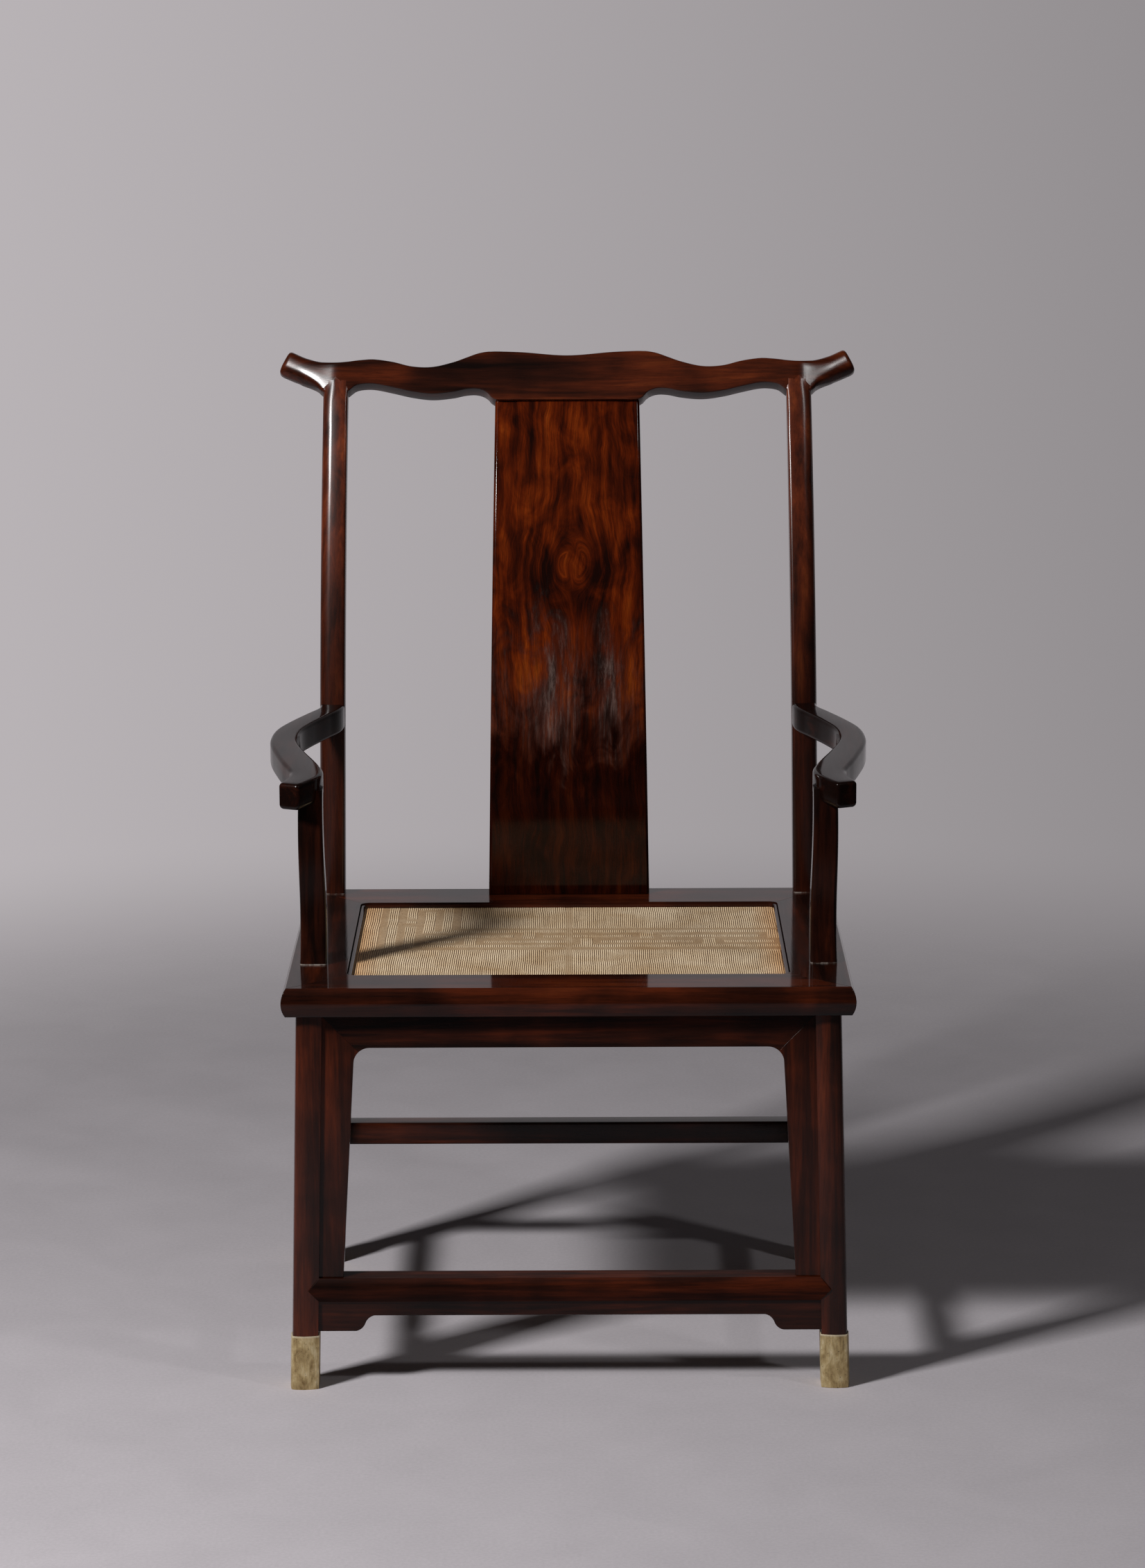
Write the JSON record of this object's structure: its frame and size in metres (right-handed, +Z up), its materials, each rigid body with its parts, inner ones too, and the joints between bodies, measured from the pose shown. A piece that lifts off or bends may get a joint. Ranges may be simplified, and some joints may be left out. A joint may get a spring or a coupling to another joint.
{
  "type": "armchair",
  "caption": "Yoke-back meditation armchair: waved crest rail, curved splat, S-shaped arms, mitred seat frame with woven mat, arched aprons, foot rail and metal-shod legs.",
  "frame": {"origin": "middle of the chair's box on the floor, under the seat", "axes": "+Z up, -Y towards the front of the chair, +X to the right of someone facing the chair"},
  "size_m": [0.762, 0.6877, 1.2151],
  "materials": {
    "rosewood": "polished dark red-brown hardwood",
    "woven_cane": "ribbed cane matting",
    "palm_fibre": "matt brown cord",
    "pale_brass": "worn and brushed"
  },
  "bodies": {
    "root": {"crest_rail": "rosewood", "back_splat": "rosewood", "rear_post_left": "rosewood", "rear_post_right": "rosewood", "front_leg_left": "rosewood", "front_leg_right": "rosewood", "arm_left": "rosewood", "arm_right": "rosewood", "arm_post_left": "rosewood", "arm_post_right": "rosewood", "seat_rail_front": "rosewood", "seat_rail_rear": "rosewood", "seat_rail_left": "rosewood", "seat_rail_right": "rosewood", "front_apron": "rosewood", "rear_apron": "rosewood", "front_spandrel_left": "rosewood", "front_spandrel_right": "rosewood", "side_apron_left": "rosewood", "side_apron_right": "rosewood", "side_front_spandrel_left": "rosewood", "side_front_spandrel_right": "rosewood", "side_rear_spandrel_left": "rosewood", "side_rear_spandrel_right": "rosewood", "foot_rail": "rosewood", "foot_rail_apron": "rosewood", "side_stretcher_left": "rosewood", "side_stretcher_right": "rosewood", "rear_stretcher": "rosewood", "seat_brace_left": "rosewood", "seat_brace_right": "rosewood", "mat_strip_front": "rosewood", "mat_strip_rear": "rosewood", "mat_strip_left": "rosewood", "mat_strip_right": "rosewood", "joint_pegs": "rosewood", "seat_mat": "woven_cane", "seat_webbing": "palm_fibre", "front_sabot_left": "pale_brass", "front_sabot_right": "pale_brass", "rear_sabot_left": "pale_brass", "rear_sabot_right": "pale_brass"}
  },
  "joints": []
}
